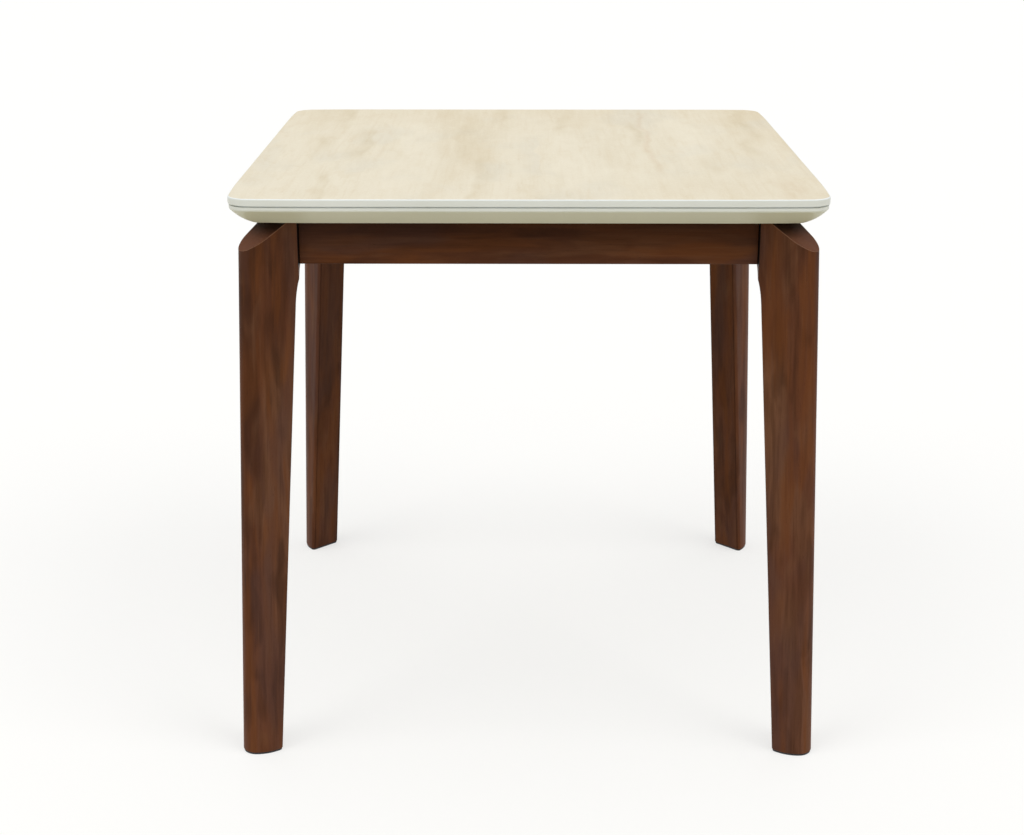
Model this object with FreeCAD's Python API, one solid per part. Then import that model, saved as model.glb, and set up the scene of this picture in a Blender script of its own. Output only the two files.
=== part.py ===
import FreeCAD
import Part
import math
import os

from FreeCAD import Vector

# A square dining table with a fixed top. Millimetres, +Z up, the origin on the floor
# under the middle of the top, +Y towards the back.
# Corner pieces are drawn at the front left corner, in a frame whose origin is the floor
# point under the corner of the top's bounding rectangle and whose +X and +Y point inwards.

# Overall
top_width = 750.0
top_depth = 750.0
table_height = 757.0

# The top and its edge
laminate_thickness = 1.0
board_thickness = 8.0
top_arris_radius = 1.8
reveal_height = 2.0
reveal_depth = 4.0
edge_band_height = 4.6
edge_band_setback = 1.0
bevel_height = 19.4
bevel_inset = 27.0
bevel_arris_radius = 3.0
edge_frame_width = 113.0
corner_radius = 28.0
bevel_corner_radius = 9.0
underside_corner_radius = 12.0
side_bow_radius = 1600.0
side_bow_degrees = 3.0

# Cross battens under the board
batten_width = 60.0
batten_spacing = 240.0

# Aprons
apron_height = 59.0
apron_thickness = 18.0
apron_inset = 57.0
apron_arris_radius = 1.2

# Legs: a rounded nose, a bow and a flat flank on each outer side, and a flat diagonal back
joint_inset = 84.5
head_inset = 14.0
head_nose_radius = 14.0
head_bow_radius = 36.0
foot_outset = 10.4
foot_nose_radius = 19.0
foot_bow_radius = 48.0
bow_degrees = 36.0
foot_back_depth = 50.3
shoulder_back_depth = 74.0
shoulder_height = 52.0
head_cut_setback = 61.0
head_cut_degrees = 30.0
back_arris_radius = 5.0
foot_ease = 1.0
head_cut_arris_radius = 1.0
shoulder_ease_share = 0.58

# Glides under the feet: round pads
glide_diameter = 38.0
glide_thickness = 2.5
glide_arris_radius = 0.7
glide_setback = 3.0

# Corner brackets
bracket_thickness = 2.5
bracket_height = 46.0
bracket_gap = 22.0
bracket_wing = 40.0
bracket_hook = 6.0
bracket_bend_radius = 2.0
kerf_clearance = 0.4
kerf_extra_depth = 1.5

# Hanger bolts, with a washer and a nut each
bolt_diameter = 8.0
bolt_spacing = 24.0
bolt_grip = 40.0
bolt_end = 5.0
bolt_point = 1.2
bolt_hole_clearance = 0.5
washer_diameter = 20.0
washer_thickness = 1.6
nut_across_flats = 13.0
nut_height = 6.5

# Screws
screw_length = 14.0
screw_point = 3.0
screw_shank_diameter = 4.0
screw_head_diameter = 8.0
screw_head_height = 2.4
screw_hole_clearance = 0.3
bracket_screw_spacing = 26.0

# Angles that hold the top down
angle_leg = 28.0
angle_width = 20.0
angle_thickness = 2.0
angle_bend_radius = 1.5
angle_spacing = 400.0

# Fits, and how far a cutter runs past what it cuts
wood_fit = 0.05
overrun = 5.0

# Worked out from the sizes above
half_width = top_width / 2
half_depth = top_depth / 2
diagonal = math.sqrt(2)
board_top = table_height - laminate_thickness
board_bottom = board_top - board_thickness
reveal_bottom = board_bottom - reveal_height
bevel_top = reveal_bottom - edge_band_height
underside = bevel_top - bevel_height
apron_bottom = underside - apron_height
apron_middle = underside - apron_height / 2
apron_back = apron_inset + apron_thickness
block_face = (joint_inset + apron_back) / diagonal
web_face = block_face + bracket_gap
web_back = web_face + bracket_thickness

up = Vector(0, 0, 1)
origin = Vector(0, 0, 0)
corners = {
    "front_left": (0, Vector(-half_width, -half_depth, 0)),
    "front_right": (90, Vector(half_width, -half_depth, 0)),
    "back_right": (180, Vector(half_width, half_depth, 0)),
    "back_left": (270, Vector(-half_width, half_depth, 0)),
}


def save(name, solids):
    """Write one sub-part, which is one solid or a group of separate solids."""
    shape = solids[0] if len(solids) == 1 else Part.makeCompound(solids)
    shape.exportStep("parts/" + name + ".step")


def turned(shape, degrees, move=origin):
    """A copy turned about the vertical axis and then moved."""
    copy = shape.copy()
    copy.rotate(origin, up, degrees)
    copy.translate(move)
    return copy


def at_corner(shape, corner):
    """A copy of a front left corner piece at the named corner."""
    degrees, place = corners[corner]
    return turned(shape, degrees, place)


def mirrored(shape):
    """A corner piece's twin on the other side of the corner's diagonal."""
    return shape.mirror(origin, Vector(1, -1, 0))


def closed(edges_or_points):
    """A face inside a closed run of points and edges, joined by straight lines."""
    edges = []
    first = last = None
    for item in edges_or_points:
        start = item if isinstance(item, Vector) else item.valueAt(item.FirstParameter)
        if last is None:
            first = start
        elif (start - last).Length > Part.Precision.confusion():
            edges.append(Part.makeLine(last, start))
        if isinstance(item, Vector):
            last = item
        else:
            edges.append(item)
            last = item.valueAt(item.LastParameter)
    edges.append(Part.makeLine(last, first))
    return Part.Face(Part.Wire(edges))


def arc(start, middle, end):
    """The arc through three points."""
    return Part.Arc(start, middle, end).toShape()


def box(x_range, y_range, z_range):
    """A box between pairs of coordinates."""
    low, high = (Vector(*ends) for ends in zip(x_range, y_range, z_range))
    size = high - low
    return Part.makeBox(size.x, size.y, size.z, low)


def rod(radius, length, start, direction):
    """A cylinder from its start point along a direction."""
    return Part.makeCylinder(radius, length, start, direction)


def lathed(outline, start, direction):
    """A solid turned about a line: the outline lists radius and distance along the line."""
    face = closed([Vector(radius, 0, along) for radius, along in outline])
    solid = face.revolve(origin, up, 360)
    solid.Placement = FreeCAD.Placement(start, FreeCAD.Rotation(up, direction))
    return solid


def middle_of(edge):
    return edge.valueAt((edge.FirstParameter + edge.LastParameter) / 2)


def same(one, other):
    return abs(one - other) < wood_fit


# The top

def soft_outline(inset, radius, z):
    """The top's outline: each straight side bows in a little before it turns the corner."""
    bow = math.radians(side_bow_degrees)
    run = side_bow_radius * math.sin(bow)
    drop = side_bow_radius * (1 - math.cos(bow))
    reach = run + drop + radius * (math.cos(bow) - math.sin(bow))
    half_run = side_bow_radius * math.sin(bow / 2)
    half_drop = side_bow_radius * (1 - math.cos(bow / 2))
    nose = drop + radius * math.cos(bow) - radius / diagonal
    bow_in = [(0, reach), (half_drop, reach - half_run), (drop, reach - run)]
    bow_out = [(b, a) for a, b in reversed(bow_in)]
    arcs = [bow_in, [bow_in[-1], (nose, nose), bow_out[0]], bow_out]
    run_of_edges = []
    for degrees, place in corners.values():
        turn = FreeCAD.Rotation(up, degrees)
        for points in arcs:
            placed = [place + turn.multVec(Vector(inset + a, inset + b, z)) for a, b in points]
            run_of_edges.append(arc(*placed))
    return closed(run_of_edges)


def make_top():
    """The laminate and the board under it share one rounded upper arris."""
    slab = soft_outline(0, corner_radius, board_bottom).extrude(up * (table_height - board_bottom))
    rim = [edge for edge in slab.Edges if same(edge.BoundBox.ZMin, table_height)]
    slab = slab.makeFillet(top_arris_radius, rim)
    above = box((-top_width, top_width), (-top_depth, top_depth), (board_top, table_height + overrun))
    save("top_laminate", slab.common(above).Solids)
    save("top_board", slab.cut(above).Solids)


def make_edge_ring():
    """The thick layer: a step for the shadow gap, a short upright band and a long bevel, which is
    flat along each side and full at the corners."""
    step = soft_outline(reveal_depth, corner_radius, reveal_bottom).extrude(up * reveal_height)
    upper = soft_outline(edge_band_setback, corner_radius, bevel_top)
    band = upper.extrude(up * edge_band_height)
    halfway = (edge_band_setback + bevel_inset) / 2
    middle = soft_outline(halfway, bevel_corner_radius, underside + bevel_height / 2)
    lower = soft_outline(bevel_inset, underside_corner_radius, underside)
    bevel = Part.makeLoft([face.OuterWire for face in (lower, middle, upper)], True, False)
    ring = bevel.fuse([band, step]).removeSplitter()
    arrises = [edge for edge in ring.Edges if same(edge.BoundBox.ZMin, edge.BoundBox.ZMax)]
    turn = [edge for edge in arrises if same(edge.BoundBox.ZMin, bevel_top)]
    ring = ring.makeFillet(bevel_arris_radius, turn)
    inside_x, inside_y = half_width - edge_frame_width, half_depth - edge_frame_width
    opening = box((-inside_x, inside_x), (-inside_y, inside_y), (0, table_height))
    return ring.cut(opening)


def make_edge_frame():
    """Four strips cut from the ring along the mitres."""
    ring = make_edge_ring()
    names = ["edge_frame_front", "edge_frame_right", "edge_frame_back", "edge_frame_left"]
    places = [place for degrees, place in corners.values()]
    inward = edge_frame_width + overrun
    strips = {}
    for index, name in enumerate(names):
        degrees = index * 90
        start, end = places[index], places[(index + 1) % len(places)]
        turn = FreeCAD.Rotation(up, degrees)
        outer_start = start + turn.multVec(Vector(-overrun, -overrun, 0))
        outer_end = end + turn.multVec(Vector(overrun, -overrun, 0))
        inner_start = start + turn.multVec(Vector(inward, inward, 0))
        inner_end = end + turn.multVec(Vector(-inward, inward, 0))
        wedge = closed([outer_start, outer_end, inner_end, inner_start]).extrude(up * table_height)
        strips[name] = ring.common(wedge)
    return strips


def make_battens():
    """Two cross battens fill the thick layer's height between the front and back strips."""
    inside = half_depth - edge_frame_width
    for name, side in (("batten_left", -1), ("batten_right", 1)):
        middle = side * batten_spacing / 2
        across = (middle - batten_width / 2, middle + batten_width / 2)
        save(name, [box(across, (-inside, inside), (underside, board_bottom))])


# Legs

def leg_inset(z):
    """How far inside the top's side the leg's outermost line lies: the leg splays."""
    return -foot_outset + (head_inset + foot_outset) * z / underside


def bow_section(nose_radius, bow_radius, z):
    """A leg section: from the nose, each outer face bows back and runs on as a flat flank."""
    bow = math.radians(bow_degrees)
    inset = leg_inset(z)

    def place(a, b):
        return Vector(inset + a, inset + b, z)

    def bowed(angle):
        return nose_radius + bow_radius * math.sin(angle), bow_radius * (1 - math.cos(angle))

    bow_end, bow_middle = bowed(bow), bowed(bow / 2)
    flank_end = (joint_inset, bow_end[1] + (joint_inset - bow_end[0]) * math.tan(bow))
    tip = nose_radius - nose_radius / diagonal
    front = arc(place(*bow_end), place(*bow_middle), place(nose_radius, 0))
    nose = arc(place(nose_radius, 0), place(tip, tip), place(0, nose_radius))
    side = arc(place(0, nose_radius), place(*bow_middle[::-1]), place(*bow_end[::-1]))
    return closed([place(*flank_end), front, nose, side, place(*flank_end[::-1]),
                   place(joint_inset, joint_inset)]).OuterWire


def diagonal_prism(profile):
    """A cutter: a profile in distance along the corner's diagonal and height, drawn out sideways."""
    width = 2 * block_face
    solid = closed(profile).extrude(Vector(0, 2 * width, 0))
    solid.translate(Vector(0, -width, 0))
    return turned(solid, 45)


def back_cutter():
    """The diagonal back: a taper, then one hollow curve out to the joint block's face."""
    shoulder_foot = apron_bottom - shoulder_height
    foot = Vector(leg_inset(0) * diagonal + foot_back_depth, 0, 0)
    start = Vector(leg_inset(shoulder_foot) * diagonal + shoulder_back_depth, 0, shoulder_foot)
    end = Vector(block_face, 0, apron_bottom)
    along = (start - foot).normalize()
    outward = Vector(end.x - start.x, 0, 0)
    shoulder = Part.BezierCurve()
    shoulder.setPoles([
        start,
        start + along * (shoulder_ease_share * shoulder_height),
        end - outward * shoulder_ease_share,
        end,
    ])
    top, far = underside + overrun, 2 * block_face
    return diagonal_prism([
        foot,
        shoulder.toShape(),
        Vector(block_face, 0, top),
        Vector(far, 0, top),
        Vector(far, 0, 0),
    ])


def head_cutter():
    """The oblique cut that lets the leg's head clear the bevel."""
    start = head_inset * diagonal + head_cut_setback
    fall = math.tan(math.radians(head_cut_degrees))
    reach = start + head_cut_setback
    return diagonal_prism([
        Vector(start + overrun / fall, 0, underside + overrun),
        Vector(start - reach, 0, underside + overrun),
        Vector(start - reach, 0, underside - reach * fall),
    ])


def bolt_heights():
    return [apron_middle - bolt_spacing / 2, apron_middle + bolt_spacing / 2]


def on_diagonal(distance, z):
    """The point at a distance from the corner along its diagonal."""
    return Vector(distance / diagonal, distance / diagonal, z)


inward = Vector(1, 1, 0)


def with_eased_foot(leg):
    """The leg, open at the foot, closed by a short taper that eases its lower edge."""
    level = glide_thickness + foot_ease
    sides = [face for face in leg.Faces if face.BoundBox.ZMax > level + wood_fit]
    sole = [face for face in leg.Faces if face.BoundBox.ZMax < level + wood_fit][0]
    tread = sole.OuterWire
    tread.scale(1 - 2 * foot_ease / sole.BoundBox.XLength, sole.CenterOfMass)
    tread.translate(-up * foot_ease)
    taper = Part.makeLoft([tread, sole.OuterWire], True, True)
    sides += [face for face in taper.Faces if face.BoundBox.ZMin < level - wood_fit]
    shell = Part.makeShell(sides)
    shell.sewShape()
    return Part.makeSolid(shell)


def make_leg():
    """The front left leg, in the corner frame."""
    foot = bow_section(foot_nose_radius, foot_bow_radius, 0)
    head = bow_section(head_nose_radius, head_bow_radius, underside)
    blank = Part.makeLoft([foot, head], True, True)
    far = 4 * joint_inset
    below = box((-far, far), (-far, far), (-overrun, glide_thickness + foot_ease))
    leg = blank.cut([back_cutter(), head_cutter(), below]).Solids[0]

    # The arrises along the back run past the joint planes before those are cut
    arrises = []
    for edge in leg.Edges:
        bounds = edge.BoundBox
        middle = middle_of(edge)
        depth = (middle.x + middle.y) / diagonal - leg_inset(middle.z) * diagonal
        upright = bounds.ZMax < apron_bottom + wood_fit and bounds.ZLength > wood_fit
        if upright and depth > foot_back_depth:
            arrises.append(edge)
    leg = with_eased_foot(leg.makeFillet(back_arris_radius, arrises))
    beside = box((joint_inset, far), (-far, far), (-overrun, underside + overrun))
    leg = leg.cut([beside, mirrored(beside)]).Solids[0]

    cut_tip = underside - head_cut_setback * math.tan(math.radians(head_cut_degrees))
    cut_edges = [edge for edge in leg.Edges
                 if cut_tip - overrun < edge.BoundBox.ZMin < underside - overrun]
    leg = leg.makeFillet(head_cut_arris_radius, cut_edges)
    holes = [rod(bolt_diameter / 2 + wood_fit, bolt_grip + wood_fit, on_diagonal(block_face, z), -inward)
             for z in bolt_heights()]
    return leg.cut(holes).Solids[0]


def make_glide():
    """A round pad under the foot, set back a little from the nose."""
    radius = glide_diameter / 2
    nose = leg_inset(0) * diagonal + foot_nose_radius * (diagonal - 1)
    place = on_diagonal(nose + glide_setback + radius, 0)
    return lathed([
        (0, 0),
        (radius - glide_arris_radius, 0),
        (radius, glide_arris_radius),
        (radius, glide_thickness),
        (0, glide_thickness),
    ], place, up)


# Corner joint

def make_bracket():
    """A folded plate: hooks in the aprons' slots, wings on their backs, a web across the corner."""
    web = web_face * diagonal
    fold = web - apron_back
    end = fold + bracket_wing
    inner_fold = fold + bracket_thickness * (diagonal - 1)
    half = [
        (apron_back, fold),
        (apron_back, end - bracket_thickness),
        (apron_back - bracket_hook, end - bracket_thickness),
        (apron_back - bracket_hook, end),
        (apron_back + bracket_thickness, end),
        (apron_back + bracket_thickness, inner_fold),
    ]
    low = apron_middle - bracket_height / 2
    points = [Vector(a, b, low) for a, b in half] + [Vector(b, a, low) for a, b in reversed(half)]
    bracket = closed(points).extrude(up * bracket_height)
    folds = [(apron_back, fold), (apron_back + bracket_thickness, end)]
    folds += [(b, a) for a, b in folds]
    bends = []
    for edge in bracket.Edges:
        middle = middle_of(edge)
        if any(same(middle.x, a) and same(middle.y, b) for a, b in folds):
            bends.append(edge)
    bracket = bracket.makeFillet(bracket_bend_radius, bends)
    holes = [rod((bolt_diameter + bolt_hole_clearance) / 2, 2 * bracket_gap,
                 on_diagonal(block_face, z), inward) for z in bolt_heights()]
    radius = (screw_shank_diameter + screw_hole_clearance) / 2
    for start, direction in bracket_screw_places():
        holes.append(rod(radius, 2 * overrun, start + direction * overrun, -direction))
    return bracket.cut(holes).Solids[0]


def bracket_screw_places():
    """Where each bracket screw's head sits on a wing, and the way it goes in."""
    middle = web_face * diagonal - apron_back + (bracket_wing + bracket_bend_radius) / 2
    seat = apron_back + bracket_thickness
    places = []
    for z in (apron_middle - bracket_screw_spacing / 2, apron_middle + bracket_screw_spacing / 2):
        places.append((Vector(middle, seat, z), Vector(0, -1, 0)))
        places.append((Vector(seat, middle, z), Vector(-1, 0, 0)))
    return places


def make_screw(start, direction):
    """A pan-head wood screw whose head sits at the start point and whose shank goes in."""
    shank, head = screw_shank_diameter / 2, screw_head_diameter / 2
    return lathed([
        (0, -screw_head_height),
        (head / 2, -screw_head_height),
        (head, -screw_head_height / 2),
        (head, 0),
        (shank, 0),
        (shank, screw_length - screw_point),
        (0, screw_length),
    ], start, direction)


def screw_hole(start, direction):
    """The hole in the wood that a screw fills."""
    return rod(screw_shank_diameter / 2 + wood_fit, screw_length + wood_fit, start, direction)


def make_bolts():
    """The hanger bolts, washers and nuts of one corner."""
    radius = bolt_diameter / 2
    stack = web_back + washer_thickness + nut_height + bolt_end
    length = stack - block_face + bolt_grip
    bolts = []
    washers = []
    nuts = []
    for z in bolt_heights():
        start = on_diagonal(block_face - bolt_grip, z)
        outline = [(0, 0), (radius - bolt_point, 0), (radius, bolt_point),
                   (radius, length - bolt_point), (radius - bolt_point, length), (0, length)]
        bolts.append(lathed(outline, start, inward))
        bore = rod(radius + wood_fit, 2 * bracket_gap, on_diagonal(web_face, z), inward)
        washer = rod(washer_diameter / 2, washer_thickness, on_diagonal(web_back, z), inward)
        washers.append(washer.cut(bore))
        nut_radius = nut_across_flats / 2 / math.cos(math.pi / 6)
        angles = [math.radians(60 * side) for side in range(6)]
        hexagon = closed([Vector(nut_radius * math.cos(a), nut_radius * math.sin(a), 0) for a in angles])
        nut = hexagon.extrude(up * nut_height)
        nut.Placement = FreeCAD.Placement(on_diagonal(web_back + washer_thickness, z),
                                          FreeCAD.Rotation(up, inward))
        nuts.append(nut.cut(bore))
    return bolts, washers, nuts


# Aprons and the angles on them

def angle_places():
    """Each side's angles: distances along the apron from its middle."""
    return [-angle_spacing / 2, angle_spacing / 2]


def apron_side(half_span, half_across):
    """One side in the front apron's frame: the apron, its angles and their screws."""
    outer_y = -half_across + apron_inset
    inner_y = -half_across + apron_back
    half_length = half_span - joint_inset
    apron = box((-half_length, half_length), (outer_y, inner_y), (apron_bottom, underside))
    arrises = []
    for edge in apron.Edges:
        bounds = edge.BoundBox
        lower = same(bounds.ZMax, apron_bottom) and bounds.XLength > half_length
        outer_end = bounds.ZLength > apron_height / 2 and same(bounds.YMin, outer_y)
        if lower or outer_end:
            arrises.append(edge)
    apron = apron.makeFillet(apron_arris_radius, arrises)

    hook_end = web_face * diagonal - apron_back + bracket_wing - half_span
    cuts = []
    for side in (-1, 1):
        near = side * (hook_end + kerf_clearance)
        far = side * (hook_end - bracket_thickness - kerf_clearance)
        depth = bracket_hook + kerf_extra_depth
        slot = box((min(near, far), max(near, far)), (inner_y - depth, inner_y + overrun),
                   (apron_bottom - overrun, underside + overrun))
        cuts.append(slot)
    for start, direction in bracket_screw_places():
        if direction.y:
            for side in (-1, 1):
                seat = Vector(side * (start.x - half_span), start.y - half_across, start.z)
                cuts.append(screw_hole(seat, direction))

    angles = []
    apron_screws = []
    top_screws = []
    seat_drop = underside - angle_leg / 2 - angle_thickness / 2
    for x in angle_places():
        angle = make_angle(x, inner_y)
        into_apron = Vector(x, inner_y + angle_thickness, seat_drop)
        into_top = Vector(x, inner_y + angle_leg / 2 + angle_thickness / 2, underside - angle_thickness)
        back, upward = Vector(0, -1, 0), up
        radius = (screw_shank_diameter + screw_hole_clearance) / 2
        holes = [rod(radius, 2 * overrun, into_apron - back * overrun, back),
                 rod(radius, 2 * overrun, into_top - upward * overrun, upward)]
        angles.append(angle.cut(holes))
        apron_screws.append(make_screw(into_apron, back))
        top_screws.append(make_screw(into_top, upward))
        cuts.append(screw_hole(into_apron, back))
    holes_above = [screw_hole(Vector(x, inner_y + angle_leg / 2 + angle_thickness / 2,
                                     underside - angle_thickness), up) for x in angle_places()]
    return apron.cut(cuts).Solids[0], angles, apron_screws, top_screws, holes_above


def make_angle(x, inner_y):
    """A small steel angle: one leg on the apron's back, the other under the top."""
    profile = [
        Vector(x, inner_y, underside),
        Vector(x, inner_y, underside - angle_leg),
        Vector(x, inner_y + angle_thickness, underside - angle_leg),
        Vector(x, inner_y + angle_thickness, underside - angle_thickness),
        Vector(x, inner_y + angle_leg, underside - angle_thickness),
        Vector(x, inner_y + angle_leg, underside),
    ]
    angle = closed(profile).extrude(Vector(angle_width, 0, 0))
    angle.translate(Vector(-angle_width / 2, 0, 0))
    bends = [edge for edge in angle.Edges
             if same(edge.BoundBox.XLength, angle_width)
             and same(middle_of(edge).y, inner_y + angle_thickness)
             and same(middle_of(edge).z, underside - angle_thickness)]
    return angle.makeFillet(angle_bend_radius, bends)


def build():
    os.makedirs("parts", exist_ok=True)
    make_top()
    make_battens()

    strips = make_edge_frame()
    sides = {
        "front": (0, half_width, half_depth),
        "right": (90, half_depth, half_width),
        "back": (180, half_width, half_depth),
        "left": (270, half_depth, half_width),
    }
    angles = []
    apron_screws = []
    top_screws = []
    for side, (degrees, half_span, half_across) in sides.items():
        apron, some_angles, some_apron_screws, some_top_screws, holes = apron_side(half_span, half_across)
        save("apron_" + side, [turned(apron, degrees)])
        angles += [turned(shape, degrees) for shape in some_angles]
        apron_screws += [turned(shape, degrees) for shape in some_apron_screws]
        top_screws += [turned(shape, degrees) for shape in some_top_screws]
        strip = strips["edge_frame_" + side].cut([turned(hole, degrees) for hole in holes])
        save("edge_frame_" + side, strip.Solids)
    save("top_angles", angles)
    save("apron_screws", apron_screws)
    save("top_screws", top_screws)

    leg = make_leg()
    glide = make_glide()
    bracket = make_bracket()
    bolts, washers, nuts = make_bolts()
    screws = [make_screw(start, direction) for start, direction in bracket_screw_places()]
    for corner in corners:
        save("leg_" + corner, [at_corner(leg, corner)])
        save("glide_" + corner, [at_corner(glide, corner)])
        save("corner_bracket_" + corner, [at_corner(bracket, corner)])
    groups = {"hanger_bolts": bolts, "hanger_washers": washers, "hanger_nuts": nuts,
              "bracket_screws": screws}
    for name, solids in groups.items():
        save(name, [at_corner(solid, corner) for corner in corners for solid in solids])


build()
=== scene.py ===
"""A square dining table: a lacquered top with a stone print, stained hardwood legs and rails."""
import math

import bmesh
import bpy
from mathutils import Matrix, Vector


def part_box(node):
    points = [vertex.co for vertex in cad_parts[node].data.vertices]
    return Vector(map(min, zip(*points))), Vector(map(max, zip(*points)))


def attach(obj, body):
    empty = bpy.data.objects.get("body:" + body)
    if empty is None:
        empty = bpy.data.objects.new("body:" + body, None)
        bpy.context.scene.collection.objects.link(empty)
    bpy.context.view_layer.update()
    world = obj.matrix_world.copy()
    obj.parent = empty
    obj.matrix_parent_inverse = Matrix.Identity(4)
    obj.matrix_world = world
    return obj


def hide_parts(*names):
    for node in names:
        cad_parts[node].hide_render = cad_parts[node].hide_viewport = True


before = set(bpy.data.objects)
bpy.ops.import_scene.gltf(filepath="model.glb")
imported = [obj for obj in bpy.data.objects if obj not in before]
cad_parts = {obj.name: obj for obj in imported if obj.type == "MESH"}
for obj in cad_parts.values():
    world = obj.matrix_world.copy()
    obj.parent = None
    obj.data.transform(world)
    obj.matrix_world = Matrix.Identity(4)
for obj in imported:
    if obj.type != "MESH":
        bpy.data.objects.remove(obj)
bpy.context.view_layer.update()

MM = 0.001

# The camera that took the photograph, worked out from the table's own outlines
CAMERA_PLACE = Vector((-0.0091, -2.4903, 1.1760))
CAMERA_PITCH_DOWN = 0.3191
CAMERA_YAW_LEFT = 0.0054
LENS_MM = 61.66
SENSOR_WIDTH_MM = 36

# Lights: where each comes from, how bright a white sheet that faces it looks, and its spread
# in degrees
SOFT_LIGHTS = {
    "overhead_light": ((0, 0.17, 1), 0.15, 55),
    "left_light": ((-0.86, -0.50, 1.13), 0.22, 36),
    "right_light": ((0.88, -0.46, 1.13), 0.22, 36),
    "front_light": ((0, -1, 0.6), 0.21, 100),
}
SURROUND_SHARE = 0.45

# Floor: its radius in metres, and how much of it glows plain white where it is seen
FLOOR_RADIUS = 40.0
FLOOR_CORNERS = 96
FLOOR_GLOW_SHARE = 0.62

# How far a leg and its grain lean outwards on each axis, for each unit of height
LEG_LEAN_SHARE = 0.034

# How far up its plank each leg is cut, which sets where the blotches fall
LEG_PLANK_MM = 700

# Where the stain lies dark in the joints, from where it starts to where it is full: past the
# joint line on a leg and short of it on a rail, and down to a rail's bottom on the leg beside it.
# Painted shade up under the top, from where it starts to where it is full, down from a rail's top
# on a leg's head cut and on the rail, and its greatest share on the rail
POOLED_ON_LEG_MM = (0.6, 0.2)
POOLED_ON_RAIL_MM = (1.0, 0.4)
POOLED_BESIDE_RAIL_MM = (1.0, 0.0)
SHADE_ON_CUT_MM = (19, 9)
SHADE_ON_RAIL_MM = (48, 18)
SHADE_ON_RAIL_SHARE = 0.66

# Which way a surface faces, as the part of its normal that points up, or out for the back's
# arris. Each reach is how far off that its colour starts, and where it is full
PRINT_ARRIS_UP = (0.985, 0.93)
HEAD_CUT_UP = (0.55, 0.8)
HEAD_CUT_SHARE = 0.8
# The head cut's rim gets a painted highlight
HEAD_RIM_UP = 0.35
HEAD_RIM_REACH = (0.22, 0.10)
HEAD_RIM_HIGHLIGHT_SHARE = 0.7
# The back's arris gets a thin line of painted shade
BACK_ARRIS_OUT = -0.46
BACK_ARRIS_REACH = (0.22, 0.04)
BACK_ARRIS_SHADE_SHARE = 0.5

# Foot pads: how far inside the sole's edge they stand, and the ease round their lower edge
PAD_MARGIN_MM = 0.6
PAD_EASE_MM = 0.7

# Corners nearer to a level than this lie on it, and corners nearer than this are one corner
LEVEL_MM = 0.1
WELD_MM = 0.001

# Screws: the pan head's height and outline, as shares of its radius and height, the cross in
# it, the shank and the point
HEAD_HEIGHT_MM = 2.4
HEAD_OUTLINE = [(1.0, 0.0), (1.0, 0.4), (0.97, 0.6), (0.88, 0.8), (0.74, 0.93), (0.62, 1.0)]
CROSS_REACH_MM = 2.0
CROSS_HALF_WIDTH_MM = 0.45
CROSS_DEPTH_MM = 1.5
CROSS_FLOOR_SHARE = 0.55
SHANK_RADIUS_MM = 2.0
SCREW_POINT_MM = 3.0
SCREW_TIP_RADIUS_MM = 0.2

# Hanger bolts: how much of one is in the wood, and the eased ends, as shares of the radius
BOLT_WOOD_MM = 40.0
BOLT_WOOD_END = [(0.7, 0.0), (0.95, 0.15)]
BOLT_NUT_END = 0.8
BOLT_END_SHARE = 0.2

# Threads: pitch and depth, and how many rings draw one turn
SCREW_THREAD_MM = (1.8, 1.08)
BOLT_WOOD_THREAD_MM = (3.0, 0.9)
BOLT_NUT_THREAD_MM = (1.25, 0.75)
RINGS_A_TURN = 4

# Directions round a fastener: six in each quarter, with one at each corner of the cross
CROSS_CORNER = math.atan2(CROSS_HALF_WIDTH_MM, CROSS_REACH_MM)
AROUND = [quarter * math.pi / 2 + step for quarter in range(4)
          for step in (-CROSS_CORNER, 0, CROSS_CORNER, math.pi / 6, math.pi / 4, math.pi / 3)]

# Colours
STONE_MID = "#DED4BC"
STONE_PALE = "#E9E1CC"
STONE_BROWN = "#D0BE9A"
STONE_GREY = "#D2CCBB"
STONE_SEAM = "#C2AF86"
STONE_RUST = "#BE9A68"
LACQUER = "#ECF1F2"
LACQUER_WARM = "#E7ECEC"
STAIN_MID = "#603A29"
STAIN_WARM = "#714224"
STAIN_LIGHT = "#77523D"
STAIN_COOL = "#543B37"
STAIN_DARK_AND_SHADE = "#3C2214"
STAIN_PORE_AND_SHADE = "#2B1308"
STAIN_CUT = "#68402C"
STAIN_FOOT = "#6E4738"
RIM_HIGHLIGHT = "#9A7560"
STAIN_POOLED_AND_SHADE = "#120A07"
SPRUCE = "#DDC08F"
SPRUCE_LATE_WOOD = "#C39A5F"
SPRUCE_FIBRE = "#B58E58"
ZINC_COOL = "#C4C8CB"
ZINC_WARM = "#D3D2CB"
PAD_BLACK = "#16171A"
PAD_SCUFFED = "#33343A"
FLOOR_SEEN = "#FEFDF8"
FLOOR_BOUNCE = "#B7AD85"
WHITE = "#FFFFFF"


def colour(hex_code):
    """An sRGB hex code as the linear colour that Blender's sockets take."""
    def linear(value):
        return value / 12.92 if value <= 0.04045 else ((value + 0.055) / 1.055) ** 2.4
    parts = [int(hex_code[start:start + 2], 16) / 255 for start in (1, 3, 5)]
    return (*[linear(part) for part in parts], 1.0)


def new_material(name):
    """An empty material and its node tree."""
    material = bpy.data.materials.new(name)
    material.use_nodes = True
    material.node_tree.nodes.clear()
    return material, material.node_tree


def add(tree, kind, inputs=None, **settings):
    """Adds a node with its settings and links. An input is a value, a socket, or a node, whose
    first output in use then feeds it."""
    node = tree.nodes.new(kind)
    for name, value in settings.items():
        setattr(node, name, value)
    for key, value in (inputs or {}).items():
        if isinstance(value, bpy.types.Node):
            value = next(socket for socket in value.outputs if socket.enabled)
        if isinstance(value, bpy.types.NodeSocket):
            tree.links.new(value, node.inputs[key])
        else:
            node.inputs[key].default_value = value
    return node


def per_metre(*sizes_mm):
    """How many blotches of the given sizes fit in a metre, along X, Y and Z."""
    return tuple(1 / (size * MM) for size in sizes_mm)


# Patterns that the stone and the wood share

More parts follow.
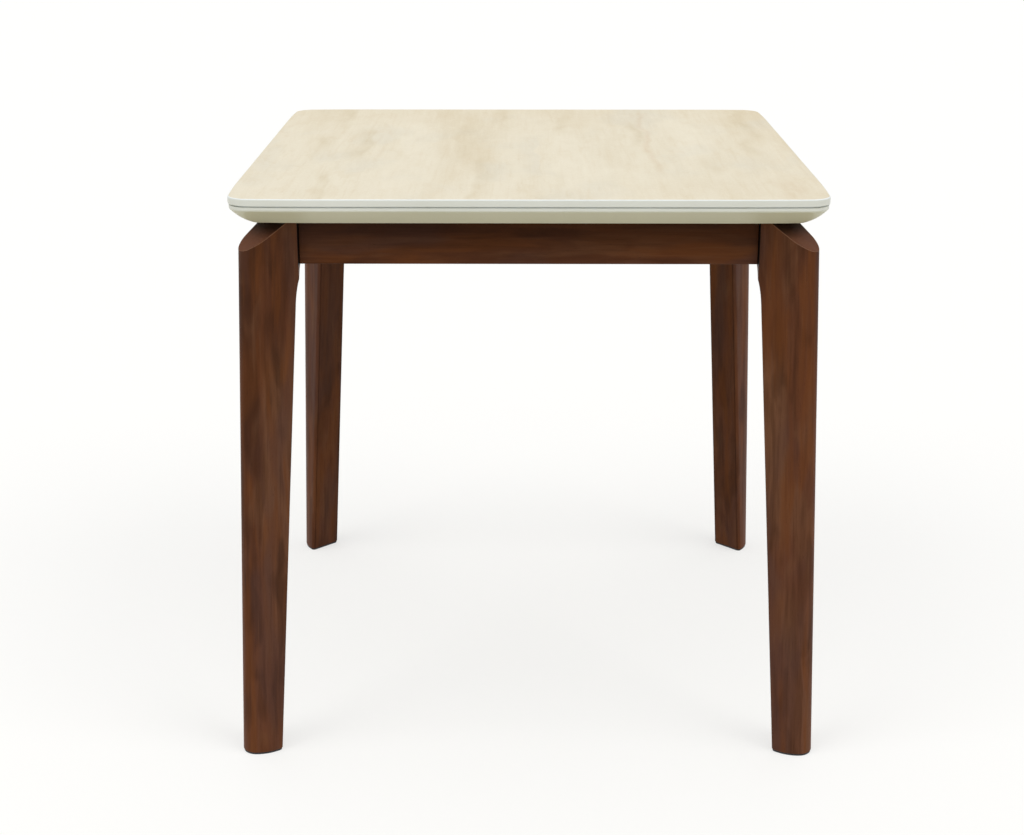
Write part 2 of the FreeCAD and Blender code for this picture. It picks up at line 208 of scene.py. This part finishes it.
def grained(tree, place, layers, grain_axis):
    """A noise for each layer of a pattern, drawn out along its grain. A layer is millimetres
    across and along the grain, detail, roughness and twist."""
    noise = {}
    for name, (wide, long, detail, rough, twist) in layers.items():
        sizes = [long if axis == grain_axis else wide for axis in "XYZ"]
        scaled = add(tree, "ShaderNodeVectorMath", {0: place, 1: per_metre(*sizes)},
                     operation="MULTIPLY")
        noise[name] = add(tree, "ShaderNodeTexNoise", {
            "Vector": scaled, "Scale": 1.0, "Detail": detail, "Roughness": rough,
            "Distortion": twist}).outputs["Fac"]
    return noise


def tinted(tree, ground, value, start, full, most, tint):
    """The ground with a tint that comes in as a value goes from start to full, up to a share."""
    share = add(tree, "ShaderNodeMapRange", {"Value": value, "From Min": start,
                                             "From Max": full, "To Max": most},
                interpolation_type="SMOOTHSTEP")
    return add(tree, "ShaderNodeMix", {0: share, 6: ground, 7: colour(tint)}, data_type="RGBA")


def patched(tree, ground, share, edges, tint):
    """The ground with a share of a tint inside a soft-edged patch. Each edge is a value, and
    the millimetres at which the patch starts and is full."""
    for value, start, full in edges:
        rise = add(tree, "ShaderNodeMapRange", {"Value": value, "From Min": start * MM,
                                                "From Max": full * MM},
                   interpolation_type="SMOOTHSTEP")
        share = add(tree, "ShaderNodeMath", {0: share, 1: rise}, operation="MULTIPLY")
    return add(tree, "ShaderNodeMix", {0: share, 6: ground, 7: colour(tint)}, data_type="RGBA")


# Materials

def stone_print():
    """Melamine-faced board, pressed matt and printed as travertine: soft beds that run front to
    back, a few brown and rusty seams and a fine mottle. The arris is lacquered like the edge."""
    material, tree = new_material("matt_travertine_print")
    place = add(tree, "ShaderNodeTexCoord").outputs["Object"]
    across, along = add(tree, "ShaderNodeSeparateXYZ", {0: place}).outputs[:2]
    noise = grained(tree, place, {
        "beds": (90, 620, 3, 0.5, 0.3), "clouds": (110, 200, 3, 0.5, 0.3),
        "mottle": (22, 60, 4, 0.6, 0.4), "streaks": (7, 120, 4, 0.6, 0.2),
        "grit": (2.4, 5, 3, 0.7, 0.0), "sway": (300, 110, 1, 0.5, 0.0),
        "breaks": (16, 60, 3, 0.65, 0.2)}, "Y")
    noise.update(depth=along, breadth=across)

    # Each tint: the layer, the values between which it comes in, its greatest share, its colour
    tints = [
        # Paler to the front and browner to the back: partly the print, partly painted light that
        # falls more on the front
        ("depth", 0.05, -0.35, 0.26, STONE_PALE), ("depth", 0.05, 0.35, 0.28, STONE_BROWN),
        ("breadth", 0.24, 0.36, 0.28, STONE_BROWN), ("beds", 0.42, 0.62, 0.30, STONE_PALE),
        ("beds", 0.50, 0.34, 0.22, STONE_BROWN), ("clouds", 0.50, 0.70, 0.40, STONE_GREY),
        ("mottle", 0.50, 0.70, 0.20, STONE_BROWN), ("mottle", 0.48, 0.30, 0.20, STONE_PALE),
        ("streaks", 0.50, 0.70, 0.20, STONE_BROWN), ("streaks", 0.48, 0.30, 0.22, STONE_PALE),
        ("grit", 0.50, 0.72, 0.12, STONE_BROWN), ("grit", 0.50, 0.30, 0.18, STONE_PALE),
    ]
    ground = colour(STONE_MID)
    for layer, start, full, most, tint in tints:
        ground = tinted(tree, ground, noise[layer], start, full, most, tint)

    # Seams and pale beds: millimetres across, from and to along the top, how far each fades to
    # the left and to the right, greatest share, colour
    seams = [
        (-276, 240, 400, 24, 14, 0.34, STONE_SEAM), (-232, -84, 160, 36, 7, 0.33, STONE_SEAM),
        (-300, 0, 110, 26, 26, 0.25, STONE_SEAM), (-262, -400, -190, 16, 7, 0.33, STONE_SEAM),
        (-98, -80, 206, 12, 42, 0.22, STONE_SEAM), (-70, -400, -80, 10, 30, 0.26, STONE_SEAM),
        (-42, 260, 400, 22, 20, 0.24, STONE_SEAM), (8, -206, 94, 34, 6, 0.30, STONE_GREY),
        (50, 140, 290, 14, 16, 0.30, STONE_SEAM), (36, -340, -190, 12, 12, 0.22, STONE_SEAM),
        (164, 30, 210, 20, 8, 0.32, STONE_SEAM), (175, -190, 320, 10, 8, 0.20, STONE_RUST),
        (250, -190, -70, 26, 20, 0.24, STONE_SEAM), (334, 90, 350, 20, 16, 0.30, STONE_SEAM),
        (320, -50, 70, 20, 18, 0.26, STONE_SEAM), (300, -206, -90, 30, 16, 0.26, STONE_GREY),
        (330, -380, -250, 28, 26, 0.14, STONE_RUST), (-172, -400, 230, 50, 62, 0.42, STONE_PALE),
        (232, -75, 280, 34, 38, 0.40, STONE_PALE), (32, -340, 100, 8, 46, 0.34, STONE_PALE),
        (350, -206, 0, 20, 30, 0.26, STONE_PALE), (72, -240, -20, 5, 8, 0.40, STONE_PALE),
        (125, -400, -150, 95, 95, 0.34, STONE_PALE),
    ]
    fade_mm = 40
    sway_mm = 20
    sway = add(tree, "ShaderNodeMapRange", {"Value": noise["sway"], "To Min": -sway_mm * MM,
                                            "To Max": sway_mm * MM})
    aside = add(tree, "ShaderNodeMath", {0: across, 1: sway}, operation="ADD")
    broken = add(tree, "ShaderNodeMapRange", {"Value": noise["breaks"], "From Min": 0.32,
                                              "From Max": 0.62, "To Min": 0.45, "To Max": 1.15})
    for middle, near, far, left, right, most, tint in seams:
        edges = [(aside, middle - left, middle), (aside, middle + right, middle),
                 (along, near - fade_mm, near + fade_mm), (along, far + fade_mm, far - fade_mm)]
        share = add(tree, "ShaderNodeMath", {0: broken, 1: most}, operation="MULTIPLY")
        ground = patched(tree, ground, share, edges, tint)

    facing = add(tree, "ShaderNodeNewGeometry").outputs["Normal"]
    facing_up = add(tree, "ShaderNodeSeparateXYZ", {0: facing}).outputs["Z"]
    arris = add(tree, "ShaderNodeMapRange", {
        "Value": facing_up, "From Min": PRINT_ARRIS_UP[0], "From Max": PRINT_ARRIS_UP[1]})
    ground = add(tree, "ShaderNodeMix", {0: arris, 6: ground, 7: colour(LACQUER)},
                 data_type="RGBA")
    rough = add(tree, "ShaderNodeMapRange", {"Value": noise["grit"], "From Min": 0.3,
                                             "From Max": 0.7, "To Min": 0.50, "To Max": 0.60})
    relief = add(tree, "ShaderNodeBump", {"Height": noise["grit"], "Distance": 0.03 * MM})
    shader = add(tree, "ShaderNodeBsdfPrincipled", {
        "Base Color": ground, "Roughness": rough, "Specular IOR Level": 0.35, "Normal": relief})
    add(tree, "ShaderNodeOutputMaterial", {"Surface": shader})
    return material


def satin_lacquer():
    """Sprayed polyurethane on fibreboard: even off-white, a soft sheen, a faint orange peel."""
    material, tree = new_material("satin_offwhite_lacquer")
    place = add(tree, "ShaderNodeTexCoord").outputs["Object"]
    peel = add(tree, "ShaderNodeTexNoise", {"Vector": place, "Scale": per_metre(2.2)[0],
                                            "Detail": 2.0})
    uneven = add(tree, "ShaderNodeTexNoise", {"Vector": place, "Scale": per_metre(120)[0],
                                              "Detail": 3.0})
    share = add(tree, "ShaderNodeMapRange", {"Value": uneven, "From Min": 0.35, "From Max": 0.65})
    base = add(tree, "ShaderNodeMix", {0: share, 6: colour(LACQUER), 7: colour(LACQUER_WARM)},
               data_type="RGBA")
    rough = add(tree, "ShaderNodeMapRange", {"Value": uneven, "From Min": 0.3, "From Max": 0.7,
                                             "To Min": 0.34, "To Max": 0.40})
    relief = add(tree, "ShaderNodeBump", {"Height": peel, "Distance": 0.02 * MM})
    shader = add(tree, "ShaderNodeBsdfPrincipled",
                 {"Base Color": base, "Roughness": rough, "Normal": relief})
    add(tree, "ShaderNodeOutputMaterial", {"Surface": shader})
    return material


def leg_stain(tree, sides, from_middle, normal):
    """For the legs: the place across with the grain's lean taken out, the share of painted shade
    along the back's arris, and the share of stain that is pooled."""
    outward = [add(tree, "ShaderNodeMath", {0: side}, operation="SIGN") for side in sides[:2]]
    lean = [add(tree, "ShaderNodeMath", {0: way, 1: sides[2]}, operation="MULTIPLY")
            for way in outward]
    leaned = [add(tree, "ShaderNodeMath", {0: tilt, 1: LEG_LEAN_SHARE, 2: side},
                  operation="MULTIPLY_ADD") for tilt, side in zip(lean, sides[:2])]

    # Painted shade: a thin dark line where the back's arris turns into the diagonal flat
    facing_out = [add(tree, "ShaderNodeMath", {0: way, 1: part}, operation="MULTIPLY")
                  for way, part in zip(outward, normal[:2])]
    furthest_out = add(tree, "ShaderNodeMath", {0: facing_out[0], 1: facing_out[1]},
                       operation="MAXIMUM")
    off_line = add(tree, "ShaderNodeMath", {0: furthest_out, 1: BACK_ARRIS_OUT},
                   operation="SUBTRACT")
    off_line = add(tree, "ShaderNodeMath", {0: off_line}, operation="ABSOLUTE")
    dark = add(tree, "ShaderNodeMapRange", {
        "Value": off_line, "From Min": BACK_ARRIS_REACH[0], "From Max": BACK_ARRIS_REACH[1],
        "To Max": BACK_ARRIS_SHADE_SHARE})

    # Pooled: the faces that meet the rails
    rail_bottom, joint_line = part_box("apron_front")[0][2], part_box("apron_front")[1][0]
    innermost = add(tree, "ShaderNodeMath", {0: from_middle[0], 1: from_middle[1]},
                    operation="MINIMUM")
    start, full = [joint_line + past * MM for past in POOLED_ON_LEG_MM]
    facing_rail = add(tree, "ShaderNodeMapRange", {
        "Value": innermost, "From Min": start, "From Max": full})
    start, full = [rail_bottom - down * MM for down in POOLED_BESIDE_RAIL_MM]
    beside_rail = add(tree, "ShaderNodeMapRange", {
        "Value": sides[2], "From Min": start, "From Max": full})
    pooled = add(tree, "ShaderNodeMath", {0: facing_rail, 1: beside_rail}, operation="MULTIPLY")
    return leaned, dark, pooled


def rail_stain(tree, height, from_middle):
    """For a rail: the shares of painted shade up under the top, and of stain that is pooled at
    its ends."""
    joint_line, rail_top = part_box("apron_front")[1][0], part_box("apron_front")[1][2]
    start, full = [rail_top - down * MM for down in SHADE_ON_RAIL_MM]
    dark = add(tree, "ShaderNodeMapRange", {
        "Value": height, "From Min": start, "From Max": full, "To Max": SHADE_ON_RAIL_SHARE})
    start, full = [joint_line - short * MM for short in POOLED_ON_RAIL_MM]
    pooled = add(tree, "ShaderNodeMapRange", {
        "Value": from_middle, "From Min": start, "From Max": full})
    return dark, pooled


def stained_hardwood(name, grain_axis):
    """Rubberwood under a reddish walnut stain and satin lacquer: a quiet straight grain, a few
    short dark pores and the soft warm and cool blotches that a wiped stain leaves. The stain
    pools almost black in the joints. A painted highlight runs round a leg's head cut, and painted
    shade darkens the wood up under the top, along the back legs' arris and up the front-left
    leg's outer side."""
    material, tree = new_material(name)
    place = add(tree, "ShaderNodeTexCoord").outputs["Object"]
    sides = add(tree, "ShaderNodeSeparateXYZ", {0: place}).outputs
    facing = add(tree, "ShaderNodeNewGeometry").outputs["Normal"]
    normal = add(tree, "ShaderNodeSeparateXYZ", {0: facing}).outputs
    from_middle = [add(tree, "ShaderNodeMath", {0: side}, operation="ABSOLUTE")
                   for side in sides[:2]]
    bands = []
    if grain_axis == "Z":
        leaned, dark, pooled = leg_stain(tree, sides, from_middle, normal)
        up_plank = add(tree, "ShaderNodeMath", {0: sides[2], 1: LEG_PLANK_MM * MM},
                       operation="ADD")
        place = add(tree, "ShaderNodeCombineXYZ", {0: leaned[0], 1: leaned[1], 2: up_plank})

        # Bands up the front legs: a darker one up the left leg's outer side, which is painted
        # shade on the side turned from the light, and paler stretches on both legs. Each:
        # millimetres across from the table's middle, heights from and to, greatest share, colour
        bands = [(-400, -364, 230, 760, 0.60, STAIN_DARK_AND_SHADE),
                 (-349, -322, 180, 510, 0.80, STAIN_LIGHT),
                 (320, 340, 340, 510, 0.90, STAIN_LIGHT), (352, 374, 20, 180, 0.75, STAIN_LIGHT)]
    else:
        dark, pooled = rail_stain(tree, sides[2], from_middle["XY".index(grain_axis)])

    # The real pores and fibres are under 0.3 mm wide. They are drawn coarser, so that they show
    noise = grained(tree, place, {
        "figure": (17, 150, 2, 0.5, 0.5), "blotch": (30, 110, 2, 0.5, 0.5),
        "patch": (50, 170, 2, 0.5, 0.4), "grain": (3.4, 90, 4, 0.6, 0.2),
        "fibre": (1.3, 30, 2, 0.6, 0.0), "pores": (0.9, 9, 1, 0.5, 0.0)}, grain_axis)
    noise.update(height=sides[2])

    base = colour(STAIN_MID)
    fade_across_mm = 12
    fade_up_mm = 80
    for left, right, low, high, most, tint in bands:
        edges = [(leaned[0], left - fade_across_mm, left), (sides[1], 0, -fade_up_mm),
                 (leaned[0], right + fade_across_mm, right),
                 (sides[2], low - fade_up_mm, low), (sides[2], high + fade_up_mm, high)]
        base = patched(tree, base, most, edges, tint)

    # Each tint: the layer, the values between which it comes in, its greatest share, its colour
    tints = [
        # By height: paler and pinker towards the foot, and darker towards the top, painted shade
        # under the table top
        ("height", 0.60, 0.10, 0.60, STAIN_FOOT), ("height", 0.56, 0.71, 0.30, STAIN_DARK_AND_SHADE),
        ("blotch", 0.50, 0.68, 0.56, STAIN_DARK_AND_SHADE), ("blotch", 0.48, 0.32, 0.44, STAIN_LIGHT),
        ("figure", 0.46, 0.66, 0.55, STAIN_WARM), ("figure", 0.50, 0.34, 0.40, STAIN_DARK_AND_SHADE),
        ("patch", 0.48, 0.66, 0.50, STAIN_COOL), ("patch", 0.46, 0.30, 0.35, STAIN_WARM),
        ("grain", 0.50, 0.70, 0.24, STAIN_DARK_AND_SHADE), ("grain", 0.46, 0.28, 0.22, STAIN_LIGHT),
        ("fibre", 0.50, 0.74, 0.16, STAIN_DARK_AND_SHADE), ("pores", 0.70, 0.80, 0.40, STAIN_PORE_AND_SHADE),
    ]
    for layer, start, full, most, tint in tints:
        base = tinted(tree, base, noise[layer], start, full, most, tint)

    # The oblique cut at a leg's head shows end grain: redder, with a painted highlight along its
    # rim, and painted shade up under the bevel
    cut = add(tree, "ShaderNodeMapRange", {
        "Value": normal[2], "From Min": HEAD_CUT_UP[0], "From Max": HEAD_CUT_UP[1],
        "To Max": HEAD_CUT_SHARE})
    off_rim = add(tree, "ShaderNodeMath", {0: normal[2], 1: HEAD_RIM_UP}, operation="SUBTRACT")
    off_rim = add(tree, "ShaderNodeMath", {0: off_rim}, operation="ABSOLUTE")
    rim_highlight = add(tree, "ShaderNodeMapRange", {
        "Value": off_rim, "From Min": HEAD_RIM_REACH[0], "From Max": HEAD_RIM_REACH[1],
        "To Max": HEAD_RIM_HIGHLIGHT_SHARE})
    start, full = [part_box("apron_front")[1][2] - down * MM for down in SHADE_ON_CUT_MM]
    shade_under_bevel = add(tree, "ShaderNodeMapRange", {
        "Value": sides[2], "From Min": start, "From Max": full})
    shade_under_bevel = add(tree, "ShaderNodeMath", {0: shade_under_bevel, 1: cut}, operation="MULTIPLY")
    # Painted highlight on the rim, painted shade under the bevel and from the dark share, pooled
    # stain in joints
    for share, tint in ((cut, STAIN_CUT), (rim_highlight, RIM_HIGHLIGHT), (shade_under_bevel, STAIN_POOLED_AND_SHADE),
                        (dark, STAIN_PORE_AND_SHADE), (pooled, STAIN_POOLED_AND_SHADE)):
        base = add(tree, "ShaderNodeMix", {0: share, 6: base, 7: colour(tint)},
                   data_type="RGBA")
    rough = add(tree, "ShaderNodeMapRange", {"Value": noise["grain"], "From Min": 0.3,
                                             "From Max": 0.7, "To Min": 0.40, "To Max": 0.52})
    relief = add(tree, "ShaderNodeBump", {"Height": noise["grain"], "Distance": 0.03 * MM})
    shader = add(tree, "ShaderNodeBsdfPrincipled", {
        "Base Color": base, "Roughness": rough, "Specular IOR Level": 0.06, "Normal": relief})
    add(tree, "ShaderNodeOutputMaterial", {"Surface": shader})
    return material


def planed_softwood():
    """Spruce battens, planed and left bare: pale, with darker late-wood lines."""
    material, tree = new_material("planed_spruce")
    place = add(tree, "ShaderNodeTexCoord").outputs["Object"]
    base = colour(SPRUCE)

    # Each layer: millimetres along X, Y and Z, where its tint comes in, its share, its colour.
    # The fibres are drawn coarser than real ones, so that they show
    layers = [((7, 500, 60), 0.42, 0.60, 0.9, SPRUCE_LATE_WOOD),
              ((0.8, 30, 0.8), 0.40, 0.70, 0.35, SPRUCE_FIBRE)]
    for sizes, start, full, most, tint in layers:
        scaled = add(tree, "ShaderNodeVectorMath", {0: place, 1: per_metre(*sizes)},
                     operation="MULTIPLY")
        fibre = add(tree, "ShaderNodeTexNoise",
                    {"Vector": scaled, "Scale": 1.0, "Detail": 3.0}).outputs["Fac"]
        base = tinted(tree, base, fibre, start, full, most, tint)
    relief = add(tree, "ShaderNodeBump", {"Height": fibre, "Distance": 0.06 * MM})
    shader = add(tree, "ShaderNodeBsdfPrincipled",
                 {"Base Color": base, "Roughness": 0.62, "Normal": relief})
    add(tree, "ShaderNodeOutputMaterial", {"Surface": shader})
    return material


def zinc_plate():
    """Bright zinc on pressed steel: a cool grey metal with a slightly cloudy shine."""
    material, tree = new_material("bright_zinc_plate")
    place = add(tree, "ShaderNodeTexCoord").outputs["Object"]
    cloud = add(tree, "ShaderNodeTexNoise", {"Vector": place, "Scale": per_metre(6)[0],
                                             "Detail": 4.0, "Roughness": 0.6})
    share = add(tree, "ShaderNodeMapRange", {"Value": cloud, "From Min": 0.35, "From Max": 0.65})
    base = add(tree, "ShaderNodeMix", {0: share, 6: colour(ZINC_COOL), 7: colour(ZINC_WARM)},
               data_type="RGBA")
    rough = add(tree, "ShaderNodeMapRange", {"Value": cloud, "From Min": 0.3, "From Max": 0.7,
                                             "To Min": 0.26, "To Max": 0.42})
    shader = add(tree, "ShaderNodeBsdfPrincipled",
                 {"Base Color": base, "Roughness": rough, "Metallic": 1.0})
    add(tree, "ShaderNodeOutputMaterial", {"Surface": shader})
    return material


def moulded_black():
    """Polyethylene pad, moulded black and scuffed matt where it meets the floor."""
    material, tree = new_material("moulded_black_polyethylene")
    place = add(tree, "ShaderNodeTexCoord").outputs["Object"]

    # The mould's grit is drawn coarser than the real 0.2 mm, so that it shows
    grit = add(tree, "ShaderNodeTexNoise", {"Vector": place, "Scale": per_metre(0.9)[0],
                                            "Detail": 3.0, "Roughness": 0.6})
    scuff = add(tree, "ShaderNodeTexNoise", {"Vector": place, "Scale": per_metre(7)[0],
                                             "Detail": 3.0})
    share = add(tree, "ShaderNodeMapRange", {"Value": scuff, "From Min": 0.45, "From Max": 0.75,
                                             "To Max": 0.4})
    base = add(tree, "ShaderNodeMix", {0: share, 6: colour(PAD_BLACK), 7: colour(PAD_SCUFFED)},
               data_type="RGBA")
    relief = add(tree, "ShaderNodeBump", {"Height": grit, "Distance": 0.04 * MM})
    shader = add(tree, "ShaderNodeBsdfPrincipled",
                 {"Base Color": base, "Roughness": 0.6, "Normal": relief})
    add(tree, "ShaderNodeOutputMaterial", {"Surface": shader})
    return material


def dress_solids():
    """Gives each solid the finish of the real piece."""
    steel = zinc_plate()
    black = moulded_black()
    lacquer = satin_lacquer()
    spruce = planed_softwood()
    leg_wood = stained_hardwood("stained_rubberwood_legs", "Z")
    rail_wood = stained_hardwood("stained_rubberwood_cross_rails", "X")
    side_wood = stained_hardwood("stained_rubberwood_side_rails", "Y")
    finishes = {
        "top_laminate": stone_print(), "top_board": lacquer, "edge_frame": lacquer,
        "batten": spruce, "leg": leg_wood, "apron_front": rail_wood, "apron_back": rail_wood,
        "apron_left": side_wood, "apron_right": side_wood, "glide": black,
        "corner_bracket": steel, "hanger": steel, "bracket_screws": steel, "top_angles": steel,
        "apron_screws": steel, "top_screws": steel,
    }
    for name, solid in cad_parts.items():
        finish = next(finishes[start] for start in finishes if name.startswith(start))
        solid.data.materials.clear()
        solid.data.materials.append(finish)


# Pieces whose finer shape the solids leave out

def make_piece(shape, name, finish):
    """An object of the given shape and finish, added to the scene."""
    mesh = bpy.data.meshes.new(name)
    shape.to_mesh(mesh)
    shape.free()
    mesh.materials.append(finish)
    piece = bpy.data.objects.new(name, mesh)
    bpy.context.scene.collection.objects.link(piece)
    return piece


def make_foot_pads():
    """A moulded pad under each foot, cut to the sole's own outline and set in from its edge."""
    glides = [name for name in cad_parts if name.startswith("glide_")]
    for name in glides:
        pad_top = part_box(name)[1][2]
        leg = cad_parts[name.replace("glide", "leg")]
        shape = bmesh.new()
        shape.from_mesh(leg.data)
        above = [face for face in shape.faces
                 if max(corner.co.z for corner in face.verts) > pad_top + LEVEL_MM * MM]
        bmesh.ops.delete(shape, geom=above, context="FACES")
        bmesh.ops.dissolve_faces(shape, faces=shape.faces[:])
        rim = bmesh.ops.inset_region(shape, faces=shape.faces[:], thickness=PAD_MARGIN_MM * MM,
                                     use_even_offset=True)["faces"]
        bmesh.ops.delete(shape, geom=rim, context="FACES")
        lower = bmesh.ops.extrude_face_region(shape, geom=shape.faces[:])["geom"]
        corners = [part for part in lower if isinstance(part, bmesh.types.BMVert)]
        bmesh.ops.translate(shape, verts=corners, vec=(0, 0, -pad_top))
        tread = [edge for edge in shape.edges
                 if all(corner.co.z < LEVEL_MM * MM for corner in edge.verts)]
        bmesh.ops.bevel(shape, geom=tread, offset=PAD_EASE_MM * MM, segments=3, profile=0.5,
                        affect="EDGES")
        bmesh.ops.recalc_face_normals(shape, faces=shape.faces[:])
        pad = make_piece(shape, name.replace("glide", "foot_pad"),
                         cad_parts[name].data.materials[0])
        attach(pad, "root")
        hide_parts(name)


def separate_solids(name):
    """The lowest and highest corner of each solid in a node, in millimetres."""
    shape = bmesh.new()
    shape.from_mesh(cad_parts[name].data)
    bmesh.ops.remove_doubles(shape, verts=shape.verts[:], dist=WELD_MM * MM)
    waiting = set(shape.verts)
    solids = []
    while waiting:
        solid = [waiting.pop()]
        for corner in solid:
            near = {edge.other_vert(corner) for edge in corner.link_edges} & waiting
            waiting -= near
            solid.extend(near)
        places = [corner.co / MM for corner in solid]
        solids.append([Vector(pick(place[side] for place in places) for side in range(3))
                       for pick in (min, max)])
    shape.free()
    return sorted(solids, key=lambda corners: tuple(corners[0]))


def ring(height, radius):
    """Points round a fastener's axis. The radius is a number, or a function of the direction."""
    points = []
    for turn in AROUND:
        reach = radius(turn) if callable(radius) else radius
        points.append(Vector((reach * math.cos(turn), reach * math.sin(turn), height)))
    return points


def cross_outline(turn):
    """How far the cross in a screw's head reaches in one direction."""
    off_arm = abs((turn + math.pi / 4) % (math.pi / 2) - math.pi / 4)
    to_end = CROSS_REACH_MM / math.cos(off_arm)
    # Straight along an arm its sides are never met, so the sine is kept off zero
    to_side = CROSS_HALF_WIDTH_MM / max(math.sin(off_arm), 0.001)
    return min(to_end, to_side)


def cross_floor(turn):
    """How far the narrower floor of the cross reaches in one direction."""
    return CROSS_FLOOR_SHARE * cross_outline(turn)


def down_the_flank(turn, height, pitch):
    """How far down a thread's flank a point lies: 0 on the crest, 1 at the root."""
    return abs(2 * ((height / pitch - turn / (2 * math.pi)) % 1) - 1)


def thread(start, end, crest, pitch, depth):
    """Rings of a helical thread that fades out at both ends."""
    steps = round((end - start) / pitch * RINGS_A_TURN)
    rings = []
    for step in range(steps + 1):
        height = start + (end - start) * step / steps
        fade = min(1, (height - start) / pitch, (end - height) / pitch)
        rings.append(ring(height, lambda turn: crest - depth * fade
                          * down_the_flank(turn, height, pitch)))
    return rings


def screw_rings(length, head_radius):
    """A pan-head screw from its point at zero up to the cross in its head."""
    seat = length - HEAD_HEIGHT_MM
    rings = [ring(0, SCREW_TIP_RADIUS_MM), ring(SCREW_POINT_MM, SHANK_RADIUS_MM)]
    rings += thread(SCREW_POINT_MM, seat, SHANK_RADIUS_MM, *SCREW_THREAD_MM)
    rings += [ring(seat + rise * HEAD_HEIGHT_MM, share * head_radius)
              for share, rise in HEAD_OUTLINE]
    rings.append(ring(length, cross_outline))
    rings.append(ring(length - CROSS_DEPTH_MM, cross_floor))
    return rings


def bolt_rings(length, radius):
    """A hanger bolt: a coarse thread in the leg, a fine one through the nut."""
    end = BOLT_END_SHARE * radius
    rings = [ring(rise * radius, share * radius) for share, rise in BOLT_WOOD_END]
    rings += thread(end, BOLT_WOOD_MM, radius, *BOLT_WOOD_THREAD_MM)
    rings += thread(BOLT_WOOD_MM, length - end, radius, *BOLT_NUT_THREAD_MM)
    rings.append(ring(length, BOLT_NUT_END * radius))
    return rings


def make_fasteners():
    """Screws with a cross in the head, and threaded hanger bolts, in the solids' places."""
    nearly_all = 0.9
    for name, rings_of in (("bracket_screws", screw_rings), ("apron_screws", screw_rings),
                           ("top_screws", screw_rings), ("hanger_bolts", bolt_rings)):
        shape = bmesh.new()
        for low, high in separate_solids(name):
            middle, size = (low + high) / 2, high - low
            thick, longest = min(size), max(size)
            # The end that shows faces the table's middle, or down where the screw is upright
            shown = Vector([-math.copysign(1, middle[side])
                            if size[side] > nearly_all * longest else 0 for side in range(3)])
            slanted = sum(map(abs, shown)) > 1
            shown.normalize()
            length = sum(abs(part) * size[side] for side, part in enumerate(shown))
            # A slanted bolt's box reaches past its ends by the bolt's own thickness
            length -= thick if slanted else 0
            turn = shown.to_track_quat("Z", "Y")
            start = middle - shown * length / 2
            loops = [[shape.verts.new((start + turn @ point) * MM) for point in points]
                     for points in rings_of(length, thick / 2)]
            shape.faces.new(reversed(loops[0]))
            shape.faces.new(loops[-1])
            for below, above in zip(loops, loops[1:]):
                for here in range(len(AROUND)):
                    shape.faces.new((below[here - 1], below[here], above[here], above[here - 1]))
        piece = make_piece(shape, name + "_threaded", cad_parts[name].data.materials[0])
        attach(piece, "root")
        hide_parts(name)


# The studio

def direct_view(tree):
    """1 where the camera, a reflection or a clear material sees the surface, else 0."""
    rays = add(tree, "ShaderNodeLightPath").outputs
    mirrored = add(tree, "ShaderNodeMath", {0: rays["Is Glossy Ray"],
                                            1: rays["Is Transmission Ray"]}, operation="MAXIMUM")
    return add(tree, "ShaderNodeMath", {0: rays["Is Camera Ray"], 1: mirrored},
               operation="MAXIMUM")


def make_floor():
    """A pale studio floor: seen as nearly white with the shadow kept, and a duller warm beige
    as it lights the table from below."""
    turns = [2 * math.pi * step / FLOOR_CORNERS for step in range(FLOOR_CORNERS)]
    rim = [(FLOOR_RADIUS * math.cos(turn), FLOOR_RADIUS * math.sin(turn), 0) for turn in turns]
    mesh = bpy.data.meshes.new("floor")
    mesh.from_pydata(rim, [], [tuple(range(FLOOR_CORNERS))])
    floor = bpy.data.objects.new("floor", mesh)
    bpy.context.scene.collection.objects.link(floor)
    material, tree = new_material("pale_studio_floor")
    seen = direct_view(tree)
    tint = add(tree, "ShaderNodeMix", {0: seen, 6: colour(FLOOR_BOUNCE), 7: colour(FLOOR_SEEN)},
               data_type="RGBA")
    paper = add(tree, "ShaderNodeBsdfDiffuse", {"Color": tint})
    glow = add(tree, "ShaderNodeEmission", {"Color": colour(WHITE), "Strength": 1.0})
    share = add(tree, "ShaderNodeMath", {0: seen, 1: FLOOR_GLOW_SHARE}, operation="MULTIPLY")
    both = add(tree, "ShaderNodeMixShader", {0: share, 1: paper, 2: glow})
    add(tree, "ShaderNodeOutputMaterial", {"Surface": both})
    mesh.materials.append(material)


def make_surround():
    """An even white surround: full white where it is seen, softer where it lights the table."""
    world = bpy.data.worlds.new("white_surround")
    world.use_nodes = True
    tree = world.node_tree
    tree.nodes.clear()
    strength = add(tree, "ShaderNodeMapRange", {"Value": direct_view(tree),
                                                "To Min": SURROUND_SHARE, "To Max": 1.0})
    light = add(tree, "ShaderNodeBackground", {"Color": colour(WHITE), "Strength": strength})
    add(tree, "ShaderNodeOutputWorld", {"Surface": light})
    bpy.context.scene.world = world


def make_soft_light(name, comes_from, share, spread_degrees):
    """A wide soft light from one direction, alike all over the floor."""
    lamp = bpy.data.lights.new(name, "SUN")
    lamp.energy = share * math.pi
    lamp.angle = math.radians(spread_degrees)
    holder = bpy.data.objects.new(name, lamp)
    holder.rotation_euler = Vector(comes_from).to_track_quat("Z", "Y").to_euler()
    bpy.context.scene.collection.objects.link(holder)


def make_camera():
    """The photograph's lens and viewpoint."""
    lens = bpy.data.cameras.new("camera")
    lens.sensor_width = SENSOR_WIDTH_MM
    lens.lens = LENS_MM
    camera = bpy.data.objects.new("camera", lens)
    camera.location = CAMERA_PLACE
    camera.rotation_euler = (math.pi / 2 - CAMERA_PITCH_DOWN, 0, CAMERA_YAW_LEFT)
    bpy.context.scene.collection.objects.link(camera)
    bpy.context.scene.camera = camera


dress_solids()
make_foot_pads()
make_fasteners()
make_floor()
make_surround()
for name, (comes_from, share, spread_degrees) in SOFT_LIGHTS.items():
    make_soft_light(name, comes_from, share, spread_degrees)
make_camera()
bpy.context.scene.view_settings.view_transform = "Standard"
